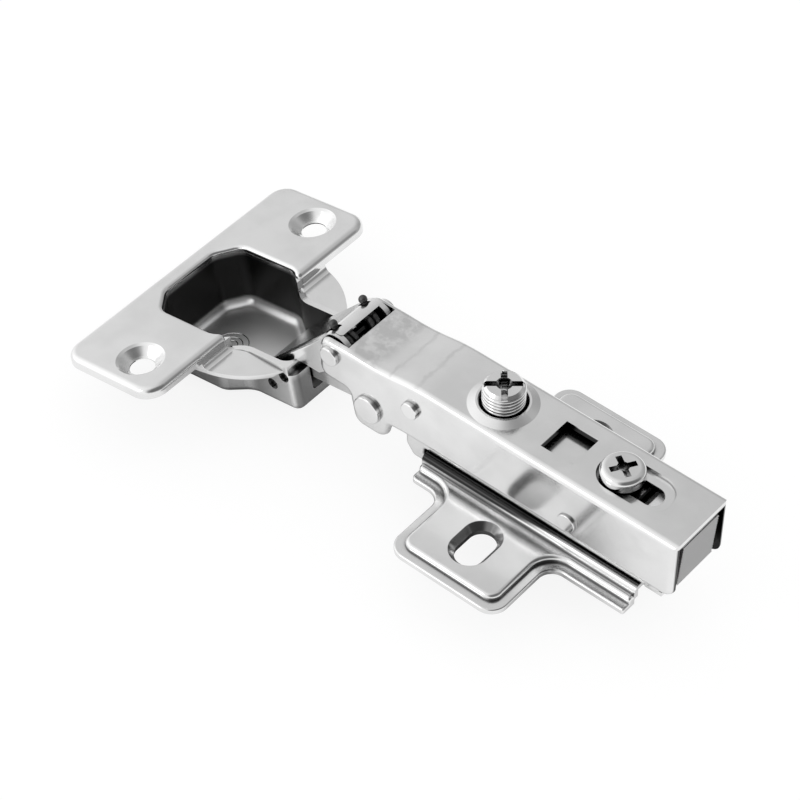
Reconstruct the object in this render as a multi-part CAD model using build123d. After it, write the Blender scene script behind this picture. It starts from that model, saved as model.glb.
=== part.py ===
from build123d import *
from math import atan2, cos, degrees, hypot, radians, sin
import os

# Concealed cup hinge, clip-on, shown open.  Millimetres.
# Origin: centre of the mounting plate's underside, midway between its two slots.
# +X runs back along the arm, +Y is the far side, +Z stands off the cabinet side.

# ---- driving dimensions ----

opening_angle = 100.0        # swing of the door from shut to fully open
cup_diameter = 35.0          # bore in the door
screw_spacing = 48.0         # flange screws, centre to centre
screw_offset = 6.0           # flange screw line to cup centre
plate_spacing = 32.0         # mounting plate slots, centre to centre

flange_tilt = opening_angle - 90.0
flange_place = (-73.6, 6.2)  # X and Z of the middle of the flange screw line

flange_left = -14.4
flange_right = 9.0
flange_half = 30.95
flange_height = 2.2
sheet = 1.0

cup_depth = 14.2
floor_depth = 13.3
mouth_left = -10.5
mouth_half = 11.2
mouth_chamfer = (-7.0, 6.6)
mouth_shoulder = (6.6, 11.4)
channel_half = 7.6
channel_end = 22.1
cup_wall = 0.9
lip_radius = 0.8             # roll round the cavity's rim
ledge_depth = 3.4            # at the flange
ledge_end_depth = 4.9        # at the end of the channel
ledge_sheet = 0.9
post_depth = 5.4
post_front = 22.3            # the ledge stops here, past the inner pin
notch_half = 4.3
notch_depth = 11.4

pin_radius = 1.2
running = 0.05               # radial clearance of every turning fit
outer_pin = (17.6, 9.3)      # along the flange from the screw line, and depth
inner_pin = (21.0, 6.2)

front_pivot = (-41.0, 15.9)  # X and Z of the outer link's rivet
rear_pivot = (-32.0, 8.0)    # X and Z of the inner link's rivet
damper_pivot = (-22.0, 14.7)
guide_place = (13.3, 10.5)

arm_half = 7.6
arm_sheet = 1.2
arm_top = 20.5
nose_top = 19.1
arm_rear = 36.0
nose_edge = -37.6
boss_place = -7.2
side_screw_radius = 3.7
slide_travel = 5.0
depth_screw_place = 19.0

link_sheet = 1.1
web_offset = 3.75            # outer link's back, from its pivot line
ear_outer = 6.05
inner_link_half = 4.0

base_half = 6.15
base_sheet = 1.0
base_top = 18.3
base_bottom = 4.2

plate_sheet = 1.1
pan_height = 2.4
ridge_height = 4.2
ridge_half = 7.5

lever_pivot = (27.5, 14.0)
damper_axis = 9.6
damper_radius = 2.9

os.makedirs("parts", exist_ok=True)


# ---- shared shapes ----

cup_plane = Plane(
    origin=(flange_place[0], 0, flange_place[1]),
    x_dir=(cos(radians(flange_tilt)), 0, sin(radians(flange_tilt))),
    z_dir=(-sin(radians(flange_tilt)), 0, cos(radians(flange_tilt))),
)


def in_side_view(along, depth):
    """X and Z of a point given along the flange and below its top."""
    spot = cup_plane.from_local_coords(Vector(along, 0, -depth))
    return (spot.X, spot.Z)


def side_face(points, radius):
    """Face in the XZ plane with rounded corners."""
    loop = FilletPolyline(*points, radius=radius, close=True)
    return Plane.XZ * make_face(loop)


def slab(face, low, high):
    """Side-view face made solid between two Y values."""
    return Pos(0, low, 0) * extrude(face, amount=high - low, dir=(0, 1, 0))


def both_sides(face, inside, outside):
    """The same slab on the near and the far side."""
    return slab(face, inside, outside) + slab(face, -outside, -inside)


def cross_pin(place, radius, half):
    """Cylinder along Y through a point of the side view."""
    return Pos(place[0], 0, place[1]) * Rot(90, 0, 0) * Cylinder(radius, 2 * half)


def rivet(place, shank, head, half, proud):
    """Shank with a flat, slightly rounded head outside each wall."""
    body = cross_pin(place, shank, half)
    cap = Pos(place[0], 0, place[1]) * Rot(90, 0, 0) * Cylinder(head, proud)
    cap = fillet(cap.edges().sort_by(Axis.Y)[0], 0.3 * proud)
    near = Pos(0, -half - proud / 2, 0) * cap
    far = mirror(near, Plane.XZ)
    return body + near + far


def link_plane(start, end):
    """Local X runs from one pivot to the other, local Y is to its left."""
    reach = hypot(end[0] - start[0], end[1] - start[1])
    way = ((end[0] - start[0]) / reach, 0, (end[1] - start[1]) / reach)
    place = Plane(origin=(start[0], 0, start[1]), x_dir=way, z_dir=(0, -1, 0))
    return place, reach


cup_pivot_outer = in_side_view(*outer_pin)
cup_pivot_inner = in_side_view(*inner_pin)


# ---- cup and flange, one drawn sheet ----

def mouth_outline(grow, stretch, end_radius):
    """Half of the cavity from above, mirrored; grow moves it outwards, stretch its channel more."""
    left = mouth_left - grow
    wide = mouth_half + grow
    narrow = channel_half + grow + stretch / 2
    end = channel_end + grow + stretch
    half = [
        (left, mouth_chamfer[1] + 0.3 * grow),
        (mouth_chamfer[0] - 0.5 * grow, wide),
        (mouth_shoulder[0] + 0.4 * grow, wide),
        (mouth_shoulder[1] + 0.4 * grow, narrow),
        (end, narrow),
    ]
    radii = [3.0, 3.0, 4.0, 5.0, end_radius]
    loop = half + [(x, -y) for x, y in reversed(half)]
    return make_face(FilletPolyline(*loop, radius=radii + radii[::-1], close=True))


def flange_body():
    """Shallow pan with a rolled rim."""
    middle = (flange_left + flange_right) / 2
    width = flange_right - flange_left
    left, right, half = flange_left, flange_right, flange_half
    corners = [(left, -half), (right, -half), (right, half), (left, half)]
    rim = FilletPolyline(*corners, radius=[4.0, 4.2, 4.2, 4.0], close=True)
    body = extrude(make_face(rim), amount=-flange_height)
    body = fillet(body.faces().sort_by(Axis.Z)[-1].edges(), 1.3)
    hollow = Pos(middle, 0, 0) * RectangleRounded(width - 2.2, 2 * flange_half - 2.2, 3.0)
    for side in (-1, 1):
        hollow -= Pos(0, side * screw_spacing / 2) * Circle(5.6)
    hollow -= Rectangle(2 * flange_half, 27.0)
    return body - extrude(Pos(0, 0, -flange_height) * hollow, amount=flange_height - 1.1)


def ledge_body():
    """Stepped down from the flange, then sloping to the channel's end, on the bore's circle."""
    far = channel_end + 2.0
    buried = flange_right - 3.0
    points = [
        (buried, -1.5),
        (flange_right, -1.5),
        (flange_right, -ledge_depth),
        (far, -ledge_end_depth),
        (far, -ledge_end_depth - ledge_sheet),
        (flange_right, -ledge_depth - ledge_sheet),
        (buried, -ledge_depth - ledge_sheet),
    ]
    body = slab(side_face(points, [0, 0, 1.2, 0, 0, 0, 0]), -cup_diameter / 2, cup_diameter / 2)
    disc = Pos(screw_offset, 0, 0) * Cylinder(cup_diameter / 2, 20.0)
    return body & disc


def lip_edges(sheet):
    """Edges round the cavity's upper rim, down the step and along the ledge."""
    rim = mouth_outline(0, 0, 2.7).wires()[0]
    fall = (ledge_end_depth - ledge_depth) / (channel_end + 2.0 - flange_right)
    found = []
    for edge in sheet.edges():
        spot = edge.center()
        size = edge.bounding_box().size
        along = spot.X - flange_right
        if along < -1.31:
            lowest = -0.01
        elif along < 1.0:
            lowest = -ledge_depth - 0.1
        else:
            lowest = -ledge_depth - fall * along - 0.2
        seam = size.X < 0.01 and size.Y < 0.01 and abs(along) > 0.01
        if spot.Z > lowest and not seam and rim.distance_to(Vertex(spot.X, spot.Y, 0)) < 0.01:
            found.append(edge)
    return found


def screw_dish(side):
    """Countersunk dish for a flange screw."""
    rim = 4.7
    hole = 2.45
    profile = Polyline(
        (0, 0.5),
        (rim, 0.5),
        (rim, 0),
        (rim - 0.5, -0.35),
        (hole + 0.35, -flange_height + 0.5),
        (hole, -flange_height + 0.2),
        (hole, -flange_height - 0.5),
        (0, -flange_height - 0.5),
        close=True,
    )
    cutter = revolve(Plane.XZ * make_face(profile), Axis.Z)
    return Pos(0, side * screw_spacing / 2, 0) * cutter


def make_cup():
    shell = flange_body() + ledge_body()
    shell -= extrude(mouth_outline(0, 0, 2.7), amount=-2 * ledge_end_depth)
    shell = fillet(lip_edges(shell), lip_radius)
    pot_top = -1.2
    pot = extrude(
        Pos(0, 0, pot_top) * mouth_outline(cup_wall, 0.6, 1.9),
        amount=-(cup_depth + pot_top),
        taper=0.6,
    )
    pot = fillet(pot.faces().sort_by(Axis.Z)[0].edges(), 1.5)
    above_channel = Pos(23.0, 0, -1.7) * Box(28.0, 40.0, 3.6)
    pot -= above_channel
    shell += pot
    hollow = extrude(mouth_outline(0, 0, 2.7), amount=-floor_depth, taper=1.0)
    hollow = fillet(hollow.faces().sort_by(Axis.Z)[0].edges(), 2.0)
    shell -= hollow
    for side in (-1, 1):
        shell -= screw_dish(side)
    shell -= Pos(post_front + 3.0, 0, -post_depth + 5) * Box(6.0, 40.0, 10.0)
    notch = Pos(channel_end + 1.0, 0, -notch_depth / 2) * Box(6.0, 2 * notch_half, notch_depth)
    notch = fillet(notch.edges().filter_by(Axis.X).group_by(Axis.Z)[0], 0.8)
    shell -= notch
    for place in (outer_pin, inner_pin):
        bore = Pos(place[0], 0, -place[1]) * Rot(90, 0, 0) * Cylinder(pin_radius, 40.0)
        shell -= bore
    return cup_plane * shell


def make_cup_pin():
    """One bent wire: two pivots joined outside the far wall."""
    reach = hypot(inner_pin[0] - outer_pin[0], inner_pin[1] - outer_pin[1])
    rise = degrees(atan2(outer_pin[1] - inner_pin[1], inner_pin[0] - outer_pin[0]))
    near_end = -channel_half - 0.45
    far_end = channel_half + 0.9
    leg = Line((0, near_end, 0), (0, far_end, 0))
    bend = CenterArc((reach / 2, far_end, 0), reach / 2, 0, 180)
    back = Line((reach, far_end, 0), (reach, near_end, 0))
    wire = sweep(Plane(origin=(0, near_end, 0), z_dir=(0, 1, 0)) * Circle(pin_radius), path=leg + bend + back)
    return cup_plane * Pos(outer_pin[0], 0, -outer_pin[1]) * Rot(0, -rise, 0) * wire


# ---- links ----

outer_plane, outer_reach = link_plane(cup_pivot_outer, front_pivot)
inner_plane, inner_reach = link_plane(cup_pivot_inner, rear_pivot)

eye_low = 3.1                # outer link's ear round the cup pin
eye_high = 3.6               # outer link's ear round the front rivet
curl_end = 215.0             # where the web's curl round the cup pin stops
lip_end = 28.0               # where the web's lip over the front rivet stops
lip_half = 5.4
lip_root = 57.0              # the lip is wider than its neck from here
neck_half = 3.1
stop_gap = 1.75              # ear's edge above the pivot line, clear of the inner pin

open_eye_length = 6.0        # slotted eye: the linkage is opened at this pivot
open_eye_width = 4.0
open_eye_middle = (19.02, 0.22)
open_eye_turn = -22.6
front_shank = 1.15
rear_shank = 1.6


def ring_sector(inside, outside, start, end):
    """Face between two arcs about the origin."""
    outer_arc = CenterArc((0, 0), outside, start, end - start)
    inner_arc = CenterArc((0, 0), inside, start, end - start)
    first = Line(inner_arc @ 0, outer_arc @ 0)
    last = Line(outer_arc @ 1, inner_arc @ 1)
    return make_face(first + outer_arc + last + inner_arc)


def across(face, half):
    """Solid from a link's side face, both ways from the middle."""
    return extrude(face, amount=half, both=True)


def make_outer_link():
    """Folded channel: two ears, a web, its curl and its lip."""
    web_inside = web_offset - link_sheet
    notch_at = outer_reach
    ear_top = web_inside + 0.1
    ear = make_face(
        Polyline(
            (0, stop_gap),
            (7.6, stop_gap),
            (9.2, 0.2),
            (11.5, -2.4),
            (outer_reach - 1.0, -3.45),
            (outer_reach + 1.0, 0),
            (outer_reach - 1.0, 3.45),
            (notch_at, ear_top),
            (0, ear_top),
            close=True,
        )
    )
    ear += Circle(eye_low)
    ear += Pos(outer_reach, 0) * Circle(eye_high)
    ears = across(ear, ear_outer) - across(ear, ear_outer - link_sheet)
    web = Pos(notch_at / 2, web_offset - link_sheet / 2) * Rectangle(notch_at, link_sheet)
    web += ring_sector(web_inside, web_offset, 90, curl_end)
    back = across(web, ear_outer)
    outer_skin = [e for e in back.edges() if abs(abs(e.center().Z) - ear_outer) < 0.01]
    outer_skin = [
        e for e in outer_skin
        if (e.geom_type == GeomType.LINE and e.center().Y > web_offset - 0.01)
        or (e.geom_type == GeomType.CIRCLE and e.radius > web_offset - 0.01)
    ]
    back = fillet(outer_skin, 0.9)
    neck = Pos(outer_reach, 0) * ring_sector(web_inside, web_offset, lip_root - 2.0, 92.0)
    lip = Pos(outer_reach, 0) * ring_sector(web_inside, web_offset, lip_end, lip_root)
    wide = across(lip, lip_half)
    corners = [e for e in wide.edges() if e.geom_type == GeomType.LINE and e.length < 1.2]
    wide = fillet(corners, 0.65)
    body = ears + back + across(neck, neck_half) + wide
    body -= Cylinder(pin_radius + running, 40.0)
    body -= Pos(outer_reach, 0) * Cylinder(front_shank + running, 40.0)
    return outer_plane * body


def make_inner_link():
    """Narrow channel with a slotted eye and a heel bar."""
    slot = Rot(0, 0, open_eye_turn) * SlotOverall(open_eye_length, open_eye_width)
    around = Rot(0, 0, open_eye_turn) * SlotOverall(open_eye_length + 2.4, open_eye_width + 2.4)
    bar = make_face(
        Polyline(
            (0, -2.0),
            (9.0, -2.6),
            (open_eye_middle[0], -3.1),
            (open_eye_middle[0] + 1.0, 3.2),
            (9.0, 1.7),
            (3.0, 1.5),
            (0, 1.9),
            close=True,
        )
    )
    heel_way = radians(-70.0) - atan2(inner_plane.x_dir.Z, inner_plane.x_dir.X)
    heel = (inner_reach + 5.0 * cos(heel_way), 5.0 * sin(heel_way))
    heel_radius = 1.1
    arm_to_heel = Polyline(
        (open_eye_middle[0] - 2.5, -2.0),
        (heel[0] - heel_radius, heel[1]),
        (heel[0] + heel_radius, heel[1]),
        (inner_reach + 2.6, -1.6),
        close=True,
    )
    side = bar + Circle(2.1) + Pos(*open_eye_middle) * around
    side += make_face(arm_to_heel)
    side += Pos(*heel) * Circle(heel_radius)
    side -= Pos(*open_eye_middle) * slot
    side -= Circle(pin_radius + running)
    body = across(side, inner_link_half) - across(side, inner_link_half - link_sheet)
    web = make_face(
        Polyline((3.0, -2.2), (9.0, -2.6), (15.0, -2.88), (15.0, -1.78), (9.0, -1.5), (3.0, -1.1), close=True)
    )
    body += across(web, inner_link_half)
    body += Pos(*heel) * Cylinder(heel_radius, 2 * inner_link_half)
    return inner_plane * body


def make_front_rivet():
    return rivet(front_pivot, front_shank, 2.0, arm_half, 0.9)


def make_link_rivet():
    return rivet(rear_pivot, rear_shank, 2.9, arm_half, 0.9)


def make_damper_rivet():
    return rivet(damper_pivot, 1.0, 1.8, arm_half, 0.9)


def make_guide_rivet():
    return rivet(guide_place, 1.5, 1.9, arm_half, 0.5)


def coil(wire, mean, pitch, turns):
    """Wire coiled about Z, from Z = 0 upwards."""
    path = Helix(pitch=pitch, height=pitch * turns, radius=mean)
    section = Plane(origin=path @ 0, z_dir=path % 0) * RegularPolygon(wire / 2, 10)
    return sweep(section, path=path)


def make_closing_spring():
    """Double torsion spring on the front rivet, with a loop and two straight ends."""
    wire = 1.25
    mean = 1.9
    pitch = 1.45
    leaves_at = -18.0
    turns = 1 + (360 + leaves_at) / 360
    start = 1.15
    half = Pos(0, 0, start) * coil(wire, mean, pitch, turns)
    outer_end = start + pitch * turns
    leave = (mean * cos(radians(leaves_at)), mean * sin(radians(leaves_at)), outer_end)
    reach = 4.5
    tip = (reach * cos(radians(leaves_at)), reach * sin(radians(leaves_at)), 4.1)
    leg = Line(leave, tip)
    half += sweep(Plane(origin=leg @ 0, z_dir=leg % 0) * Circle(wire / 2), path=leg)
    half += Pos(*tip) * Sphere(0.85)
    half += Pos(*leave) * Sphere(wire / 2)
    loop_path = FilletPolyline((mean, 0, start), (mean, 6.5, start), (mean, 6.5, 0), radius=1.1)
    loop = sweep(Plane(origin=loop_path @ 0, z_dir=loop_path % 0) * Circle(wire / 2), path=loop_path)
    half += loop + Pos(mean, 0, start) * Sphere(wire / 2)
    spring = half + mirror(half, Plane.XY)
    toward_web = Plane(
        origin=(front_pivot[0], 0, front_pivot[1]),
        x_dir=outer_plane.y_dir,
        z_dir=(0, -1, 0),
    )
    return toward_web * spring


# ---- arm ----

boss_radius = 6.7
boss_height = 0.8
boss_mouth = 4.4             # the boss's hole widens upwards from the thread
bend_radius = 38.0
thread_radius = side_screw_radius + running
window = (4.0, 11.0, 3.75)   # front, rear, half-width
recess_floor = 19.7
recess = (14.3, 29.4, 4.35)
slot = (14.9, 27.6, 2.25)


def arm_outline():
    """Side wall, with a lobe at the rear rivet and a drooping nose."""
    points = [
        (nose_edge - 6.4, 18.9),
        (nose_edge - 6.4, 9.4),
        (-37.0, 9.4),
        (-35.6, 2.1),
        (-28.4, 2.1),
        (-27.2, 6.4),
        (-24.2, 6.7),
        (-17.0, 6.9),
        (arm_rear, 6.9),
        (arm_rear, arm_top),
        (-21.5, arm_top),
        (-29.5, nose_top),
        (-37.0, nose_top),
    ]
    radii = [2.6, 2.4, 1.4, 2.6, 2.6, 1.2, 0, 0, 2.2, 0, bend_radius, bend_radius, 0]
    return side_face(points, radii)


def make_arm():
    body = slab(arm_outline(), -arm_half, arm_half)
    top_edges = [e for e in body.edges() if abs(abs(e.center().Y) - arm_half) < 0.01]
    top_edges = [e for e in top_edges if e.center().Z > 18.5 and e.center().X > nose_edge - 6.0]
    body = fillet(top_edges, 1.2)
    inner_half = arm_half - arm_sheet
    hollow = [
        (-50.0, 0.0),
        (arm_rear + 1, 0.0),
        (arm_rear + 1, arm_top - arm_sheet),
        (-21.3, arm_top - arm_sheet),
        (-29.3, nose_top - arm_sheet),
        (-50.0, nose_top - arm_sheet),
    ]
    inside = slab(side_face(hollow, [0, 0, 0, bend_radius, bend_radius, 0]), -inner_half, inner_half)
    body -= inside
    body -= Pos(nose_edge - 10, 0, 15) * Box(20.0, 2 * inner_half, 20.0)
    boss = Polyline(
        (thread_radius, arm_top - 0.5),
        (boss_mouth, arm_top + boss_height - 0.2),
        (boss_mouth + 0.2, arm_top + boss_height),
        (boss_mouth + 0.6, arm_top + boss_height),
        (boss_radius, arm_top - 0.1),
        (boss_radius, arm_top - arm_sheet),
        (thread_radius + 1.2, arm_top - arm_sheet),
        (thread_radius, arm_top - arm_sheet - 0.6),
        close=True,
    )
    ring = revolve(Plane.XZ * make_face(boss), Axis.Z)
    body -= Pos(boss_place, 0, arm_top) * Cylinder(boss_radius - 0.5, 10.0)
    body += Pos(boss_place, 0, 0) * ring
    body -= Pos((window[0] + window[1]) / 2, 0, arm_top) * Box(window[1] - window[0], 2 * window[2], 10.0)
    middle = (recess[0] + recess[1]) / 2
    sunk = SlotOverall(recess[1] - recess[0], 2 * recess[2])
    pocket = extrude(Pos(middle, 0, recess_floor) * sunk, amount=2.0)
    dip = SlotOverall(recess[1] - recess[0] + 1.6, 2 * recess[2] + 1.6)
    under = recess_floor - arm_sheet + 0.1
    body += extrude(Pos(middle, 0, under) * dip, amount=arm_top - 0.4 - under)
    body -= pocket
    long_slot = SlotOverall(slot[1] - slot[0], 2 * slot[2])
    body -= extrude(Pos((slot[0] + slot[1]) / 2, 0, 10.0) * long_slot, amount=20.0)
    for place, shank in (
        (front_pivot, front_shank),
        (rear_pivot, rear_shank),
        (damper_pivot, 1.0),
        (guide_place, 1.5),
    ):
        body -= cross_pin(place, shank, 20.0)
    return body


# ---- adjusting screws ----

def cross_recess(reach, width, depth, pit_radius, turn):
    """Cutter for a cross slot with a tapered pit, from Z = 0 down."""
    bar = Pos(0, 0, -depth / 2) * Box(2 * reach, width, depth)
    pit_depth = 1.25 * depth
    pit = Pos(0, 0, -pit_depth / 2) * Cone(0.5 * pit_radius, pit_radius, pit_depth)
    return Rot(0, 0, turn) * (bar + Rot(0, 0, 90) * bar + pit)


def make_side_screw():
    """Headless screw: thread in the boss, neck and collar held by the clip base."""
    top = 25.4
    thread_end = base_top + 0.3
    collar_top = base_top - 1.3
    body = Pos(0, 0, (top + thread_end) / 2) * Cylinder(side_screw_radius, top - thread_end)
    body = chamfer(body.edges().sort_by(Axis.Z)[-1], 0.5)
    body += Pos(0, 0, (thread_end + collar_top) / 2) * Cylinder(2.0, thread_end - collar_top + 0.4)
    collar = Pos(0, 0, collar_top - 0.6) * Cylinder(3.2, 1.2)
    body += chamfer(collar.edges(), 0.2)
    body -= Pos(0, 0, top) * cross_recess(side_screw_radius + 0.1, 1.2, 2.6, 1.5, 40.0)
    return Pos(boss_place, 0, 0) * body


def make_depth_screw():
    """Pan-head screw that clamps the arm down on the clip base."""
    seat = recess_floor + 0.1
    head_height = 2.9
    end = 12.6
    head = Pos(0, 0, seat + head_height / 2) * Cylinder(4.1, head_height)
    head = fillet(head.edges().sort_by(Axis.Z)[-1], 1.1)
    head = chamfer(head.edges().sort_by(Axis.Z)[0], 0.6)
    shank = Pos(0, 0, (seat + end) / 2) * Cylinder(2.05, seat - end + 0.4)
    shank = chamfer(shank.edges().sort_by(Axis.Z)[0], 0.4)
    body = head + shank
    body -= Pos(0, 0, seat + head_height) * cross_recess(2.5, 1.15, 1.8, 1.1, 58.0)
    return Pos(depth_screw_place, 0, 0) * body


# ---- clip base ----

base_front = -24.6
web_front = -16.8
web_rear = 23.2


def base_wall():
    """Side wall with the hook that catches the plate's front edge."""
    points = [
        (base_front, 8.4),
        (base_front, 3.2),
        (-22.8, 0.8),
        (-17.6, 0.8),
        (-17.6, 2.8),
        (-20.0, 2.8),
        (-20.0, base_bottom),
        (33.0, base_bottom),
        (33.0, 16.4),
        (27.0, base_top),
        (web_front, base_top),
        (-19.4, 12.2),
    ]
    radii = [1.0, 1.2, 1.0, 0.5, 0.5, 0.3, 0.3, 2.0, 2.0, 2.0, 1.0, 2.0]
    return side_face(points, radii)


def make_clip_base():
    """Channel inside the arm: the arm slides on it and it clips to the plate."""
    thick = 1.1
    inner_half = base_half - base_sheet
    body = slab(base_wall(), -base_half, base_half)
    top_edges = [e for e in body.edges() if abs(abs(e.center().Y) - base_half) < 0.01]
    top_edges = [e for e in top_edges if e.center().Z > 16.6 and e.center().X > web_front]
    body = fillet(top_edges, 0.8)
    body -= Pos(0, 0, base_top - thick - 20) * Box(200.0, 2 * inner_half, 40.0)
    body -= Pos(web_front - 20, 0, 10) * Box(40.0, 2 * inner_half, 40.0)
    body -= Pos(web_rear + 20, 0, 10) * Box(40.0, 2 * inner_half, 40.0)
    body += Pos(depth_screw_place, 0, base_top - 2.4) * Cylinder(3.2, 4.4)
    body -= Pos(depth_screw_place, 0, base_top) * Cylinder(2.05 + running, 20.0)
    track = SlotOverall(slide_travel + 4.9, 4.3)
    body -= extrude(Pos(boss_place - slide_travel / 2 + 0.1, 0, base_top - 3.0) * track, amount=6.0)
    guide = SlotOverall(slide_travel + 3.4, 3.1)
    middle = (guide_place[0] - slide_travel / 2, guide_place[1])
    guide_plane = Plane(origin=(middle[0], 0, middle[1]), x_dir=(1, 0, 0), z_dir=(0, -1, 0))
    body -= extrude(guide_plane * guide, amount=20.0, both=True)
    body += Pos(31.2, 0, base_bottom + 0.5) * Box(3.6, 2 * base_half - 0.4, 1.0)
    body -= cross_pin(lever_pivot, 1.2, 20.0)
    return body


# ---- release lever ----

rib_count = 16
rib_height = 0.28


def lever_outline():
    """Cheeks, hooked leg, and a ribbed rear face."""
    bottom = (35.1, 8.0)
    top = (35.7, 18.3)
    ribs = []
    for step in range(rib_count):
        for part, out in ((0.15, 0), (0.5, rib_height), (0.85, 0)):
            share = (step + part) / rib_count
            ribs.append(
                (bottom[0] + (top[0] - bottom[0]) * share + out, bottom[1] + (top[1] - bottom[1]) * share)
            )
    front = [
        (33.6, 18.6),
        (25.4, 18.2),
        (23.9, 16.6),
        (23.3, 1.6),
        (26.9, 1.6),
        (26.9, 2.8),
        (25.0, 3.0),
        (25.2, 9.9),
        (33.4, 9.9),
        (33.8, 8.0),
    ]
    return Plane.XZ * make_face(Polyline(*(ribs + front), close=True))


def make_release_lever():
    body = slab(lever_outline(), -5.0, 5.0)
    for side in (-1, 1):
        body -= Pos(25.0, side * 5.0, 4.0) * Box(6.0, 3.2, 9.6)
    body -= cross_pin(lever_pivot, 1.2 + running, 20.0)
    return body


def make_lever_pin():
    return cross_pin(lever_pivot, 1.2, base_half)


def make_lever_spring():
    wire = 0.5
    turns = 5.0
    height = 4.2
    body = coil(wire, 1.5, height / turns, turns)
    return Pos(31.2, 0, base_bottom + 1.0 + wire / 2) * body


# ---- soft-closing damper ----

cylinder_front = -21.0
cylinder_rear = -10.4
rod_travel = 4.0
slider_front = -27.0


def make_damper_cylinder():
    """Tube with a closed rear end and a lug for its rivet."""
    length = cylinder_rear - cylinder_front
    tube = Pos((cylinder_front + cylinder_rear) / 2, 0, damper_axis) * Rot(0, 90, 0) * Cylinder(damper_radius, length)
    lug = side_face(
        [(-24.0, 16.6), (-20.0, 16.6), (-17.6, damper_axis + 2.0), (-21.0, damper_axis + 2.0), (-24.0, 13.2)],
        [1.9, 1.9, 0.5, 0.3, 0.8],
    )
    body = tube + slab(lug, -2.2, 2.2)
    bore = Pos((cylinder_front + cylinder_rear - 1.2) / 2, 0, damper_axis) * Rot(0, 90, 0)
    body -= bore * Cylinder(2.1, length - 1.2)
    body -= cross_pin(damper_pivot, 1.0, 20.0)
    return body


def along_damper(start, end, radius):
    """Cylinder on the damper's axis between two X values."""
    return Pos((start + end) / 2, 0, damper_axis) * Rot(0, 90, 0) * Cylinder(radius, end - start)


def make_damper_plug():
    """Front guide pressed in the tube."""
    body = along_damper(cylinder_front, cylinder_front + 1.0, 2.1)
    return body - along_damper(-40.0, 0.0, 0.8 + running)


def make_damper_rod():
    """Rod with its piston."""
    piston = along_damper(-18.6, -17.2, 2.04)
    return along_damper(slider_front + 1.0, -17.4, 0.8) + chamfer(piston.edges(), 0.15)


def make_damper_seal():
    """Ring in front of the plug's inner face."""
    body = along_damper(cylinder_front + 1.0, cylinder_front + 2.0, 2.1)
    return body - along_damper(-40.0, 0.0, 0.8 + running)


def make_damper_spring():
    """Pushes the piston out again."""
    wire = 0.4
    start = -17.2 + wire / 2
    end = cylinder_rear - 1.2 - wire / 2
    body = coil(wire, 1.55, (end - start) / 6, 6)
    return Pos(start, 0, damper_axis) * Rot(0, 90, 0) * body


def make_damper_slider():
    """Plastic shoe on the rod's front end, pushed by the inner link's heel."""
    shoe = side_face([(slider_front, 12.0), (slider_front, 2.8), (slider_front + 1.6, 2.8), (slider_front + 1.6, 12.0)], 0.5)
    body = slab(shoe, -3.8, 3.8)
    body += along_damper(slider_front + 1.2, slider_front + 1.9, 1.6)
    return body - along_damper(slider_front + 1.0, slider_front + 5.0, 0.8)


# ---- mounting plate ----

plate_front = -19.5
plate_rear = 28.5
wing_x = 12.35
wing_y = 26.0
spine_half = 10.6
plate_slot_length = 9.0
plate_slot_radius = 2.75


def plate_outline(inset):
    """Two wings joined by a spine, rounded at every corner."""
    wing = wing_x - inset
    tip = wing_y - inset
    spine = spine_half - inset
    corner = 3.5 if inset < 1 else 2.4
    neck = 3.0 + inset
    near = [
        (plate_front, -spine),
        (-wing, -spine),
        (-wing, -tip),
        (wing, -tip),
        (wing, -spine),
        (plate_rear, -spine),
    ]
    radii = [1.0, neck, corner, corner, neck, 0.4]
    far = [(x, -y) for x, y in reversed(near)]
    return make_face(FilletPolyline(*(near + far), radius=radii + radii[::-1], close=True))


def slot_cut(side, radius):
    """Cutter for one slot, with the given half-width."""
    reach = plate_slot_length / 2 - plate_slot_radius
    middle = side * plate_spacing / 2
    cut = Pos(0, middle, 0) * Box(2 * radius, 2 * reach, 12.0)
    for end in (-reach, reach):
        cut += Pos(0, middle + end, 0) * Cylinder(radius, 12.0)
    return cut


def slot_dish(side, depth, flare):
    """Cutter for the sunk rim of one slot."""
    reach = plate_slot_length / 2 - plate_slot_radius
    middle = side * plate_spacing / 2
    low = plate_slot_radius - 0.2
    high = plate_slot_radius + flare
    floor = pan_height - depth
    top = pan_height + 0.4
    slope = (high - low) / depth
    rise = high + slope * 0.4
    section = Plane.XZ * make_face(Polyline((-low, floor), (low, floor), (rise, top), (-rise, top), close=True))
    cut = Pos(0, middle, 0) * extrude(section, amount=reach, both=True)
    for end in (-reach, reach):
        cut += Pos(0, middle + end, (floor + top) / 2) * Cone(low, rise, top - floor)
    return cut


def make_mounting_plate():
    """Pressed sheet: flat border, raised pan, higher ridge under the arm."""
    step = 1.8
    length = plate_rear - plate_front
    middle = (plate_rear + plate_front) / 2
    body = extrude(plate_outline(0), amount=plate_sheet)
    body = fillet(body.faces().sort_by(Axis.Z)[-1].edges(), 0.35)
    pan = extrude(plate_outline(step), amount=pan_height)
    pan = fillet(pan.faces().sort_by(Axis.Z)[-1].edges(), 0.8)
    ridge = Pos(middle, 0, ridge_height / 2) * Box(length, 2 * ridge_half, ridge_height)
    ridge = fillet(ridge.edges().filter_by(Axis.X).group_by(Axis.Z)[-1], 1.2)
    body = body + pan + ridge
    under = extrude(plate_outline(step + plate_sheet), amount=pan_height - plate_sheet)
    for side in (-1, 1):
        under -= slot_cut(side, plate_slot_radius + 1.8)
    body -= under
    body -= Pos(middle, 0, 0) * Box(length + 2, 2 * (ridge_half - plate_sheet), 2 * (ridge_height - plate_sheet))
    for side in (-1, 1):
        body -= slot_cut(side, plate_slot_radius)
        body -= slot_dish(side, 1.7, 1.1)
    body -= Pos(22.6, 0, 4.0) * Box(5.2, 8.6, 4.0)
    return body


# ---- write every sub-part ----

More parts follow.
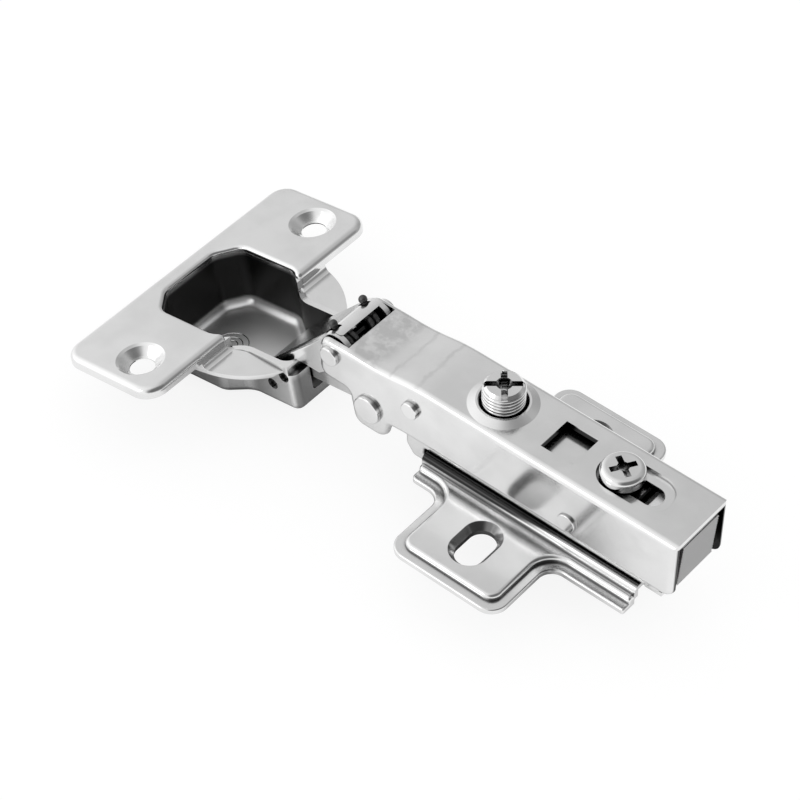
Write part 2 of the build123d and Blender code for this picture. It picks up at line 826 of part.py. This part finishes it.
makers = {
    "mounting_plate": make_mounting_plate,
    "clip_base": make_clip_base,
    "depth_screw": make_depth_screw,
    "release_lever": make_release_lever,
    "lever_pin": make_lever_pin,
    "lever_spring": make_lever_spring,
    "arm": make_arm,
    "side_screw": make_side_screw,
    "front_rivet": make_front_rivet,
    "link_rivet": make_link_rivet,
    "damper_rivet": make_damper_rivet,
    "guide_rivet": make_guide_rivet,
    "outer_link": make_outer_link,
    "closing_spring": make_closing_spring,
    "inner_link": make_inner_link,
    "cup": make_cup,
    "cup_pin": make_cup_pin,
    "damper_cylinder": make_damper_cylinder,
    "damper_plug": make_damper_plug,
    "damper_seal": make_damper_seal,
    "damper_rod": make_damper_rod,
    "damper_spring": make_damper_spring,
    "damper_slider": make_damper_slider,
}

for name, make in makers.items():
    piece = make()
    export_step(piece, f"parts/{name}.step")
    print(name, round(piece.volume, 1))
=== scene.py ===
# Concealed cup hinge: finishes, small fittings, studio and camera.
# Pieces and finishes are measured in millimetres, the studio in metres.
import math
from collections import namedtuple

import bmesh
import bpy
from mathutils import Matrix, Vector


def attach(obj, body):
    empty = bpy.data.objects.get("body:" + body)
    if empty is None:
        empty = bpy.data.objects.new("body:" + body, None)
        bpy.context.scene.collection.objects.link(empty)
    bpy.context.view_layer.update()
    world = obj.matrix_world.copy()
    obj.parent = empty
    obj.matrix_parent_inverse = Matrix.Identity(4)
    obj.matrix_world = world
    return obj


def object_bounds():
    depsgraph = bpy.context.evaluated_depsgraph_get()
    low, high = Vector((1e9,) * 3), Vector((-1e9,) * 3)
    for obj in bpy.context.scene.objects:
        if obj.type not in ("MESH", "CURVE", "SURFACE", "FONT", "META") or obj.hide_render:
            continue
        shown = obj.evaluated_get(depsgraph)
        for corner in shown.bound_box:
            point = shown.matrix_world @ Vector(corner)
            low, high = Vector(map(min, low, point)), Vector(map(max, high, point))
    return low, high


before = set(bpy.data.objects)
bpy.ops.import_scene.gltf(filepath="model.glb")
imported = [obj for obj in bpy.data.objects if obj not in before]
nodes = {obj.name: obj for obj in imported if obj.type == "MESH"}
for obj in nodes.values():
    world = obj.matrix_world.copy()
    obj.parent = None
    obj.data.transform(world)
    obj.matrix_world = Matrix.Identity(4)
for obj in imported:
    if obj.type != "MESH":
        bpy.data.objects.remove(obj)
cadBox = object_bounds()
mm = 0.001
print("frame loaded,", len(nodes), "nodes")


# shader graphs written as sums

Axes = namedtuple("Axes", "x y z")


class Wire:  # one output socket; sums on it add Math nodes
    def __init__(self, graph, socket):
        self.graph = graph
        self.socket = socket

    def math(self, operation, *others):
        return self.graph.node("Math", {"operation": operation}, dict(enumerate((self, *others))))

    def __add__(self, other):
        return self.math("ADD", other)

    def __sub__(self, other):
        return self.math("SUBTRACT", other)

    def __rsub__(self, other):
        return self.graph.node("Math", {"operation": "SUBTRACT"}, {0: other, 1: self})

    def __mul__(self, other):
        return self.math("MULTIPLY", other)

    def __abs__(self):
        return self.math("ABSOLUTE")

    __radd__ = __add__
    __rmul__ = __mul__

    def centred(self):  # noise, about zero
        return self - 0.5

    def clamped(self, low=0.0, high=1.0):
        return self.math("MAXIMUM", low).math("MINIMUM", high)

    def step(self, start, end):  # smooth 0 to 1 between two values
        return self.graph.node(
            "MapRange",
            {"interpolation_type": "SMOOTHSTEP"},
            {"Value": self, "From Min": start, "From Max": end},
        )


class Graph:
    def __init__(self, tree):
        self.tree = tree
        tree.nodes.clear()

    def feed(self, slot, value):
        if isinstance(value, Wire):
            self.tree.links.new(value.socket, slot)
        else:
            slot.default_value = value

    def node(self, kind, settings=None, sockets=None, out=0):
        made = self.tree.nodes.new("ShaderNode" + kind)
        for key, value in (settings or {}).items():
            setattr(made, key, value)
        for key, value in (sockets or {}).items():
            self.feed(made.inputs[key], value)
        return Wire(self, made.outputs[out]) if len(made.outputs) else None

    def place(self):  # the object's own position, in millimetres
        spot = self.node("TexCoord", out="Object")
        return self.node("VectorMath", {"operation": "SCALE"}, {0: spot, "Scale": 1000.0})

    def facing(self):  # the way the surface faces
        return self.node("TexCoord", out="Normal")

    def parts(self, vector):
        made = self.node("SeparateXYZ", sockets={"Vector": vector})
        return Axes(*[Wire(self, out) for out in made.socket.node.outputs])

    def vectors(self, operation, first, second, out="Vector"):
        return self.node("VectorMath", {"operation": operation}, {0: first, 1: second}, out)

    def dot(self, first, second):
        return self.vectors("DOT_PRODUCT", first, second, "Value")

    def noise(self, vector, scale, detail=2.0, rough=0.5):
        return self.node(
            "TexNoise",
            sockets={"Vector": vector, "Scale": scale, "Detail": detail, "Roughness": rough},
        )

    def blend(self, factor, first, second):  # the colours are a Mix node's inputs 6 and 7, output 2
        return self.node("Mix", {"data_type": "RGBA"}, {0: factor, 6: first, 7: second}, 2)

    def ray(self, kind):  # 1 for rays of one kind
        return self.node("LightPath", out="Is " + kind + " Ray")

    def surface(self, shader, kind="OutputMaterial"):
        self.node(kind, sockets={"Surface": shader})


def newMaterial(name):
    material = bpy.data.materials.new(name)
    material.use_nodes = True
    return material, Graph(material.node_tree)


def grey(level):
    return (level, level, level, 1.0)


# finishes; a pair of numbers is where a change starts and where it is complete

nickelLook = {
    "bright": 0.80,        # plated sheet
    "worn": 0.74,          # dull patches
    "patchScale": 0.12,
    "patchEdge": (0.35, 0.70),
    "creaseShade": 0.015,       # painted shade down in gaps and holes
    "creaseReach": 2.6,    # how far a neighbouring wall paints shade on it, mm
    "creaseFrom": 0.22,
    "creaseTo": 0.85,
    "shine": 0.17,         # roughness
    "smudge": 0.09,        # how far the roughness drifts
    "roughRange": (0.05, 0.60),
    "streakShape": (0.25, 3.0, 3.0),   # long streaks along X
    "streakScale": 1.4,
    "streakShare": 0.6,    # of the grain; the rest is fine
    "fineScale": 9.0,
    "grain": 0.012,        # rolled grain, mm
    "relief": 0.25,
}
turnedLook = {**nickelLook, "shine": 0.12, "grain": 0.004, "creaseReach": 1.4}


def creaseShaded(graph, look, colour):  # painted shade, darker down in gaps and holes
    reach = {"Distance": look["creaseReach"] * mm}
    near = graph.node("AmbientOcclusion", {"samples": 12}, reach, "AO")
    bare = near.step(look["creaseFrom"], look["creaseTo"])
    return graph.blend(bare, grey(look["creaseShade"]), colour)


def plating(graph, look):
    patches = graph.noise(graph.place(), look["patchScale"], detail=3.0)
    return graph.blend(patches.step(*look["patchEdge"]), grey(look["bright"]), grey(look["worn"]))


def nickelSkin(graph, look, colour, dulled=0.0):
    spot = graph.place()
    drawnOut = graph.vectors("MULTIPLY", spot, look["streakShape"])
    patches = graph.noise(spot, look["patchScale"], detail=3.0)
    streaks = graph.noise(drawnOut, look["streakScale"], detail=3.0, rough=0.6)
    fine = graph.noise(spot, look["fineScale"], detail=2.0, rough=0.6)
    drift = patches.centred() * look["smudge"] + streaks.centred() * look["smudge"]
    rough = (dulled + look["shine"] + drift).clamped(*look["roughRange"])
    height = streaks * look["streakShare"] + fine * (1 - look["streakShare"])
    grain = {"Height": height, "Strength": look["relief"], "Distance": look["grain"] * mm}
    bump = graph.node("Bump", sockets=grain)
    return graph.node(
        "BsdfPrincipled",
        sockets={"Base Color": colour, "Metallic": 1.0, "Roughness": rough, "Normal": bump},
    )


def nickelSheet(name, look):
    material, graph = newMaterial(name)
    graph.surface(nickelSkin(graph, look, creaseShaded(graph, look, plating(graph, look))))
    return material


armLook = {
    **nickelLook,
    "creaseReach": 1.2,
    "creaseTo": 0.72,
    "top": 20.5,           # height of the arm's flat top, mm
    "half": 7.6,           # half its width
    "cut": 0.02,           # painted shade on the openings' walls and the channel inside
    "cutBelow": (0.05, 0.30),      # they lie this far under the top,
    "cutWithin": (0.5, 0.9),       # this far in from the sides,
    "cutBehind": (-22.0, -21.0),   # behind this X
    "level": (0.6, 0.8),           # and face up or down less than this
    "recess": (13.0, 13.5),        # from this X the depth screw's recess lowers the top
    "recessDepth": 0.85,
    "mottleScale": 0.35,
    "mottle": (0.35, 0.60),
    "nose": (-32.0, -29.0),        # darker mottled marks ahead of this
    "bendLines": (-24.4, 2.9),    # X of the middle of the two, and half their distance
    "lineHalf": 0.7,       # half a line's width
    "waver": 2.4,          # how far a line wanders
    "upward": (0.5, 0.8),  # marks show on faces that look up this much
    "marking": 0.8,
    "markTone": 0.56,       # colour of the marks
}


def armNickel(look):  # the plated arm, with painted shade inside its openings
    material, graph = newMaterial("armNickel")
    spot = graph.parts(graph.place())
    facing = graph.parts(graph.facing())
    sunk = spot.x.step(*look["recess"]) * look["recessDepth"]
    below = (look["top"] - sunk - spot.z).step(*look["cutBelow"])
    within = (look["half"] - abs(spot.y)).step(*look["cutWithin"])
    wall = 1 - abs(facing.z).step(*look["level"])
    # painted shade on the walls inside the openings and the channel
    inside = below * within * wall * spot.x.step(*look["cutBehind"])
    mottle = graph.noise(graph.place(), look["mottleScale"], detail=4.0, rough=0.65)
    nose = (1 - spot.x.step(*look["nose"])) * mottle.step(*look["mottle"])
    # darker lines across the two bends of the ramp
    fromMiddle = abs(spot.x - look["bendLines"][0] + mottle.centred() * look["waver"])
    fromLine = abs(fromMiddle - look["bendLines"][1])
    line = (1 - fromLine.step(0.0, look["lineHalf"])) * mottle
    marks = (nose * look["marking"] + line * look["marking"]).clamped()
    marked = marks * facing.z.step(*look["upward"])
    plated = graph.blend(marked, plating(graph, look), grey(look["markTone"]))
    colour = graph.blend(inside, creaseShaded(graph, look, plated), grey(look["cut"]))
    graph.surface(nickelSkin(graph, look, colour))
    return material


rivetLook = {
    **turnedLook,
    "creaseReach": 2.0,
    "heads": (7.2, 7.6),   # from shank to head, distance from the middle, mm
    "shank": 0.03,         # painted shade inside the arm
}


def rivetNickel(look):  # plated heads, painted shade on the shanks inside the arm
    material, graph = newMaterial("rivetNickel")
    shank = 1 - abs(graph.parts(graph.place()).y).step(*look["heads"])
    bare = creaseShaded(graph, look, plating(graph, look))
    graph.surface(nickelSkin(graph, look, graph.blend(shank, bare, grey(look["shank"]))))
    return material


leverLook = {
    **nickelLook,
    # painted light: a lighter copy of the nickel, so the ribbed face reads light grey
    "bright": 0.97,
    "shine": 0.42,
    "creaseReach": 0.35,
    "grain": 0.002,
    "foot": (35.1, 8.0),   # of the ribbed rear face, X and height, mm
    "lean": 0.058,         # it leans back this much per mm of height
    "face": (-0.10, -0.02),    # what lies further ahead isn't that face
    "rib": 0.28,           # height of a rib
    "valley": (0.15, 0.32),    # from valley to rib, as shares of that height
    "between": 0.10,       # painted shade between the ribs
}


def leverNickel(look):
    material, graph = newMaterial("leverNickel")
    spot = graph.parts(graph.place())
    proud = spot.x - look["foot"][0] - (spot.z - look["foot"][1]) * look["lean"]
    rib = proud.step(look["rib"] * look["valley"][0], look["rib"] * look["valley"][1])
    # painted shade in the valleys between the ribs
    valley = proud.step(*look["face"]) * (1 - rib)
    colour = creaseShaded(graph, look, grey(look["bright"]))
    graph.surface(nickelSkin(graph, look, graph.blend(valley, colour, grey(look["between"]))))
    return material


plateLook = {
    **nickelLook,
    "creaseReach": 4.6,
    "creaseFrom": 0.30,
    "creaseTo": 0.90,
    "slot": (0.0, 16.0),   # place of a slot, X and distance from the middle, mm
    "slotReach": 1.75,     # half the length of its straight part
    "rimEdge": (3.6, 4.6),     # the rim fades out this far from the slot's middle line
    "rimFacing": (0.1, 0.8),   # painted dark reflection where it faces back and to the near side
    "rimShade": 0.16,
    "corner": (13.0, 11.8),    # drawn corner between wing and spine, X and from the middle, with a painted dark reflection
    "cornerEdge": (0.3, 2.6),
    "cornerLong": 0.5,     # under 1 draws it out along X
    "cornerShade": 0.22,
    "mottleScale": 0.5,
    "mottle": (0.2, 0.6),
    "ridge": (2.7, 3.4),   # height at which painted shade darkens the ridge under the arm, mm
    "ridgeRun": (-6.0, 16.0),  # between these X that height rises
    "ridgeRise": 1.1,      # by this much
    "ridgeShade": 0.03,
}


def plateNickel(look):  # painted shade and dark reflections on parts of the slots, the corners and the ridge
    material, graph = newMaterial("plateNickel")
    spot = graph.parts(graph.place())
    facing = graph.parts(graph.facing())
    across = (abs(abs(spot.y) - look["slot"][1]) - look["slotReach"]).math("MAXIMUM", 0.0)
    along = spot.x - look["slot"][0]
    fromSlot = (across * across + along * along).math("SQRT")
    turned = (facing.x - facing.y).step(*look["rimFacing"])
    rim = (1 - fromSlot.step(*look["rimEdge"])) * turned
    plated = creaseShaded(graph, look, plating(graph, look))
    rimShaded = graph.blend(rim, plated, grey(look["rimShade"]))
    aside = spot.x - look["corner"][0]
    inward = abs(spot.y) - look["corner"][1]
    fromCorner = (aside * aside * look["cornerLong"] + inward * inward).math("SQRT")
    mottle = graph.noise(graph.place(), look["mottleScale"], detail=3.0)
    drawn = (1 - fromCorner.step(*look["cornerEdge"])) * mottle.step(*look["mottle"])
    cornerShaded = graph.blend(drawn, rimShaded, grey(look["cornerShade"]))
    climb = spot.z - spot.x.step(*look["ridgeRun"]) * look["ridgeRise"]
    colour = graph.blend(climb.step(*look["ridge"]), cornerShaded, grey(look["ridgeShade"]))
    graph.surface(nickelSkin(graph, look, colour))
    return material


cupLook = {
    "place": (-73.6, 0.0, 6.2),    # middle of the flange screw line, mm
    "tilt": 10.0,                  # of the flange, degrees
    "middle": (4.0, 0.0, -6.0),    # inside the cavity: along the flange, across, up
    "inward": (0.0, 2.0),          # faces that look at the middle are inside it
    "rimDepth": (0.7, 2.2),        # below the rim
    "wall": 0.05,                  # inner wall, painted shade
    # painted shade on the floor, lighter than on the wall
    "floor": 0.70,
    "fillet": 0.95,                # painted highlight round the floor
    "steep": (0.05, 0.50),         # from wall to fillet, by how much a face looks up
    "flat": (0.900, 0.995),        # and from fillet to floor
    "dulled": 0.22,                # rougher than the outside
    "end": 0.26,                   # painted shade on the end of the pot under the arm
    "endFacing": (0.30, 0.75),
    "endDepth": (4.0, 7.0),
}


def cupAxes(look):  # along the flange, across it and up
    tilt = math.radians(look["tilt"])
    along = Vector((math.cos(tilt), 0, math.sin(tilt)))
    return along, Vector((0, 1, 0)), Vector((-math.sin(tilt), 0, math.cos(tilt)))


def inCup(look, spot):  # a point given along the flange, across and up
    along, across, up = cupAxes(look)
    return Vector(look["place"]) + along * spot[0] + across * spot[1] + up * spot[2]


def cupNickel(look, metal):
    material, graph = newMaterial("cupNickel")
    up = cupAxes(look)[2]
    spot = graph.place()
    facing = graph.facing()
    depth = graph.dot(graph.vectors("SUBTRACT", spot, look["place"]), tuple(-up))
    rise = graph.dot(facing, tuple(up))
    toMiddle = graph.vectors("SUBTRACT", tuple(inCup(look, look["middle"])), spot)
    inside = graph.dot(facing, toMiddle).step(*look["inward"]) * depth.step(*look["rimDepth"])
    # painted light and shade inside the cup, by how much a face looks up
    lowDown = graph.blend(rise.step(*look["flat"]), grey(look["fillet"]), grey(look["floor"]))
    cavity = graph.blend(1 - rise.step(*look["steep"]), lowDown, grey(look["wall"]))
    # painted shade on the pot's end under the arm
    end = graph.parts(facing).x.step(*look["endFacing"]) * depth.step(*look["endDepth"])
    plated = graph.blend(end, plating(graph, metal), grey(look["end"]))
    colour = graph.blend(inside, creaseShaded(graph, metal, plated), cavity)
    graph.surface(nickelSkin(graph, metal, colour, inside * look["dulled"]))
    return material


wireLook = {"light": 0.14, "dark": 0.05, "mottleScale": 1.5, "shine": 0.35, "smudge": 0.1}


def springWire(look):
    material, graph = newMaterial("springWire")
    mottle = graph.noise(graph.place(), look["mottleScale"], detail=3.0)
    colour = graph.blend(mottle, grey(look["dark"]), grey(look["light"]))
    rough = look["shine"] + mottle * look["smudge"]
    skin = {"Base Color": colour, "Metallic": 1.0, "Roughness": rough}
    graph.surface(graph.node("BsdfPrincipled", sockets=skin))
    return material


plasticLook = {
    "colour": 0.045,
    "paler": 1.4,          # the grain's peaks, times the colour
    "shine": 0.45,
    "smudge": 0.1,
    "grainScale": 6.0,
    "grain": 0.01,         # mm
    "relief": 0.4,
}


def mouldedPlastic(name, look):
    material, graph = newMaterial(name)
    grain = graph.noise(graph.place(), look["grainScale"], detail=2.0)
    colour = graph.blend(grain, grey(look["colour"]), grey(look["colour"] * look["paler"]))
    rough = look["shine"] + grain * look["smudge"]
    relief = {"Height": grain, "Strength": look["relief"], "Distance": look["grain"] * mm}
    bump = graph.node("Bump", sockets=relief)
    skin = {"Base Color": colour, "Roughness": rough, "Normal": bump}
    graph.surface(graph.node("BsdfPrincipled", sockets=skin))
    return material


def dress(material, *names):
    for name in names:
        slots = nodes[name].data.materials
        slots.clear()
        slots.append(material)


sheetMetal = nickelSheet("nickelSheet", nickelLook)
turnedMetal = nickelSheet("turnedMetal", turnedLook)
plastic = mouldedPlastic("mouldedPlastic", plasticLook)
dress(sheetMetal, "clip_base", "outer_link", "inner_link")
dress(turnedMetal, "side_screw", "depth_screw", "lever_pin", "cup_pin", "damper_rod")
dress(plastic, "damper_cylinder", "damper_plug", "damper_slider", "damper_seal")
dress(armNickel(armLook), "arm")
dress(plateNickel(plateLook), "mounting_plate")
dress(leverNickel(leverLook), "release_lever")
dress(rivetNickel(rivetLook), "front_rivet", "link_rivet", "damper_rivet", "guide_rivet")
dress(cupNickel(cupLook, nickelLook), "cup")
dress(springWire(wireLook), "closing_spring", "lever_spring", "damper_spring")
print("finishes on")


# small pieces

def meshPiece(name, rings, closed):  # skin over rings of points, in mm
    mesh = bpy.data.meshes.new(name)
    work = bmesh.new()
    rows = [[work.verts.new(Vector(point) * mm) for point in ring] for ring in rings]
    if closed:
        rows.append(rows[0])
    for first, second in zip(rows, rows[1:]):
        for i in range(len(first)):
            j = (i + 1) % len(first)
            work.faces.new((first[i], first[j], second[j], second[i]))
    if not closed:
        work.faces.new(reversed(rows[0]))
        work.faces.new(rows[-1])
    bmesh.ops.recalc_face_normals(work, faces=work.faces)
    work.to_mesh(mesh)
    work.free()
    mesh.polygons.foreach_set("use_smooth", [True] * len(mesh.polygons))
    made = bpy.data.objects.new(name, mesh)
    bpy.context.scene.collection.objects.link(made)
    return made


threadLook = {
    "place": -7.2,         # X of the screw, mm
    "root": 3.62,          # radius of the ridge's foot, inside the screw's own 3.7
    "crest": 3.95,
    "low": 20.55,
    "high": 24.75,
    "pitch": 0.78,
    "steps": 48,           # sections to a turn
    "foot": 0.47,          # half the ridge's foot, as a share of the pitch
    "flat": 0.09,          # half the flat on its crest, mm
    "buried": 0.3,         # the ridge goes this much deeper than its foot, mm
    "runOut": 12,          # sections in which the ridge dies away at an end
    "least": 0.05,         # share of its height left there
}


def makeThread(look):
    rings = []
    turns = (look["high"] - look["low"]) / look["pitch"]
    count = int(turns * look["steps"])
    half = Vector((0, 0, look["pitch"] * look["foot"]))
    flat = Vector((0, 0, look["flat"]))
    for i in range(count + 1):
        turn = 2 * math.pi * i / look["steps"]
        z = look["low"] + look["pitch"] * i / look["steps"]
        ease = min(1.0, i / look["runOut"], (count - i) / look["runOut"])
        crest = look["root"] + (look["crest"] - look["root"]) * max(ease, look["least"])
        side = Vector((math.cos(turn), math.sin(turn), 0))
        centre = Vector((look["place"], 0, z))
        inner = side * (look["root"] - look["buried"])
        rings.append([
            centre + inner + half,
            centre + side * look["root"] + half,
            centre + side * crest + flat,
            centre + side * crest - flat,
            centre + side * look["root"] - half,
            centre + inner - half,
        ])
    thread = meshPiece("side_screw_thread", rings, False)
    thread.data.materials.append(turnedMetal)
    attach(thread, "side_screw_body")


ringLook = {
    "middle": (-1.2, -1.6, -13.3),  # on the cup's floor: along the flange, across, up
    "radii": (1.5, 2.5, 3.7),
    "width": 0.12,         # half of it, mm
    "rise": 0.07,
    "around": 64,          # sections round a ring
    "sides": 8,            # points round its section
}


def makeFloorRings(look):
    along, across, up = cupAxes(cupLook)
    centre = inCup(cupLook, look["middle"])
    for number, radius in enumerate(look["radii"]):
        rings = []
        for i in range(look["around"]):
            turn = 2 * math.pi * i / look["around"]
            side = along * math.cos(turn) + across * math.sin(turn)
            section = []
            for k in range(look["sides"]):
                swing = 2 * math.pi * k / look["sides"]
                out = side * (radius + look["width"] * math.cos(swing))
                section.append(centre + out + up * (look["rise"] * math.sin(swing)))
            rings.append(section)
        ring = meshPiece("cup_floor_ring_" + str(number + 1), rings, True)
        ring.data.materials.append(turnedMetal)
        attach(ring, "cup_body")


makeThread(threadLook)
makeFloorRings(ringLook)
print("small pieces made")


# studio

floorLook = {
    "drop": 0.2,           # under the plate, mm
    "size": 1.6,
    "paint": 0.20,
    "glow": 0.85,
    "glossy": 0.88,        # what the metal sees of it
    "shadeReach": 0.028,
    "shade": (0.22, 0.95),
}


def makeFloor(look):
    low = cadBox[0][2] - look["drop"] * mm
    bpy.ops.mesh.primitive_plane_add(size=look["size"], location=(0, 0, low))
    floor = bpy.context.object
    floor.name = "studioFloor"
    material, graph = newMaterial("floorPaint")
    seen = (graph.ray("Camera") + graph.ray("Transmission")).clamped()
    reach = {"Distance": look["shadeReach"]}
    shaded = graph.node("AmbientOcclusion", {"samples": 8}, reach, "AO").step(*look["shade"])
    paint = graph.node("BsdfDiffuse", sockets={"Color": grey(look["paint"])})
    level = seen * look["glow"] + graph.ray("Glossy") * shaded * look["glossy"]
    glow = graph.node("Emission", sockets={"Color": grey(1.0), "Strength": level})
    graph.surface(graph.node("AddShader", sockets={0: paint, 1: glow}))
    floor.data.materials.append(material)


skyLook = {
    "backdrop": 1.0,       # what the camera sees; all the rest is for the metal
    "diffuse": 0.8,
    "near": 1.25,          # the left of the room, towards the viewer
    "nearHigh": 1.12,      # the same side, higher up
    "far": 0.56,           # behind the object
    "farHigh": 0.61,
    "away": (-0.55, 1.0),  # from near to far
    "highUp": (0.50, 0.74),
    "left": 0.35,          # brighter towards the far left
    "leftFrom": -0.44,
    "leftRange": (-0.4, 0.5),
    "dark": 0.18,          # the viewer's own side
    "darkAim": (0.85, -0.20, 0.45),
    "darkEdge": (0.45, 0.85),
    "horizon": (0.05, 0.35),   # the dark side stays light below this
}


def makeSky(look):
    world = bpy.data.worlds.new("studioSky")
    bpy.context.scene.world = world
    world.use_nodes = True
    graph = Graph(world.node_tree)
    toward = graph.node("TexCoord", out="Generated")
    side = graph.parts(toward)
    away = side.y.step(*look["away"])
    left = (look["leftFrom"] - side.x).clamped(*look["leftRange"])
    high = side.z.step(*look["highUp"])
    near = look["near"] + (look["nearHigh"] - look["near"]) * high
    far = look["far"] + (look["farHigh"] - look["far"]) * high
    tent = near * (1 - away) + far * away + look["left"] * left
    aim = Vector(look["darkAim"]).normalized()
    above = side.z.step(*look["horizon"])
    shade = graph.dot(toward, tuple(aim)).step(*look["darkEdge"]) * above
    mirrored = tent * (1 - shade) + look["dark"] * shade
    camera = graph.ray("Camera")
    glossy = graph.ray("Glossy")
    around = glossy * mirrored + (1 - glossy) * look["diffuse"]
    level = camera * look["backdrop"] + (1 - camera) * around
    sky = graph.node("Background", sockets={"Color": grey(1.0), "Strength": level})
    graph.surface(sky, "OutputWorld")


lampLook = {
    "keyBox": {
        "place": (-0.40, -0.80, 0.50),
        "aim": (-0.02, 0.0, 0.005),
        "size": 0.34,
        "power": 0.7,
    },
}


def makeLamps(look):
    for name, lamp in look.items():
        data = bpy.data.lights.new(name, "AREA")
        data.size = lamp["size"]
        data.energy = lamp["power"]
        made = bpy.data.objects.new(name, data)
        bpy.context.scene.collection.objects.link(made)
        made.location = lamp["place"]
        way = Vector(lamp["aim"]) - made.location
        made.rotation_euler = way.to_track_quat("-Z", "Y").to_euler()


cameraLook = {
    "turn": 40.27,         # degrees
    "rise": 46.84,
    "lens": 128.75,        # and its sensor, mm
    "sensor": 36.0,
    "place": (0.2006, -0.2734, 0.3869),
}


def makeCamera(look):
    data = bpy.data.cameras.new("camera")
    data.lens = look["lens"]
    data.sensor_width = look["sensor"]
    data.clip_start = 0.01
    data.clip_end = 10.0
    made = bpy.data.objects.new("camera", data)
    bpy.context.scene.collection.objects.link(made)
    made.location = look["place"]
    made.rotation_euler = (math.radians(90 - look["rise"]), 0, math.radians(look["turn"]))
    bpy.context.scene.camera = made


makeFloor(floorLook)
makeSky(skyLook)
makeLamps(lampLook)
makeCamera(cameraLook)
bpy.context.scene.view_settings.view_transform = "Standard"
print("studio set")
